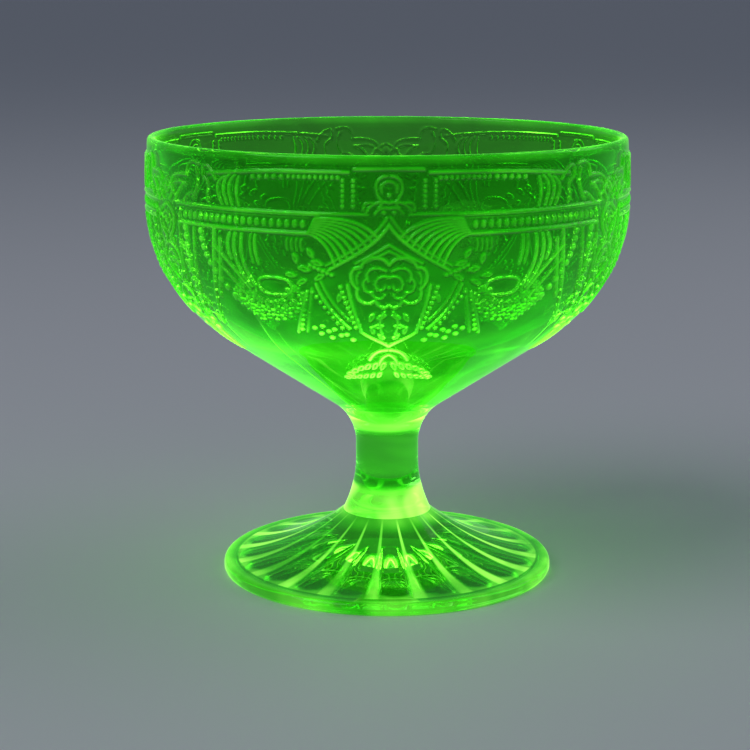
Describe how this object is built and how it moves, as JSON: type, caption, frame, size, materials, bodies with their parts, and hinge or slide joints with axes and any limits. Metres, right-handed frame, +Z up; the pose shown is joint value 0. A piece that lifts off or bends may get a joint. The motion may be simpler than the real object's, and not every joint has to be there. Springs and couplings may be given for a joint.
{
  "type": "footed dessert dish",
  "caption": "Footed sherbet dish of green glowing pressed glass: a deep round bowl with raised garlands and beads, a short waisted stem and a rayed foot.",
  "frame": {"origin": "centre of the standing ring, on the surface the dish stands on", "axes": "+Z up along the dish's axis, -Y towards the front, where one main motif of the relief is centred"},
  "size_m": [0.0856, 0.0856, 0.079],
  "materials": {
    "uranium_glass": "gloss"
  },
  "bodies": {
    "root": {"rim_lip": "uranium_glass", "bowl_wall": "uranium_glass", "bowl_cone": "uranium_glass", "bowl_bottom": "uranium_glass", "stem": "uranium_glass", "stem_collar": "uranium_glass", "foot_plate": "uranium_glass", "foot_rays": "uranium_glass", "foot_rim": "uranium_glass", "upper_rules": "uranium_glass", "upper_beads": "uranium_glass", "belt_top_rules": "uranium_glass", "belt_beads": "uranium_glass", "belt_low_rules": "uranium_glass", "window_bars": "uranium_glass", "urns": "uranium_glass", "pendants": "uranium_glass", "wave_lines": "uranium_glass", "scrolls": "uranium_glass", "drapery": "uranium_glass", "ribbons": "uranium_glass", "rosettes": "uranium_glass", "shields": "uranium_glass", "side_straps": "uranium_glass", "strap_beads": "uranium_glass", "garlands": "uranium_glass", "oval_rings": "uranium_glass", "plumes": "uranium_glass", "chains": "uranium_glass", "palmettes": "uranium_glass", "mould_seams": "uranium_glass"}
  },
  "joints": []
}
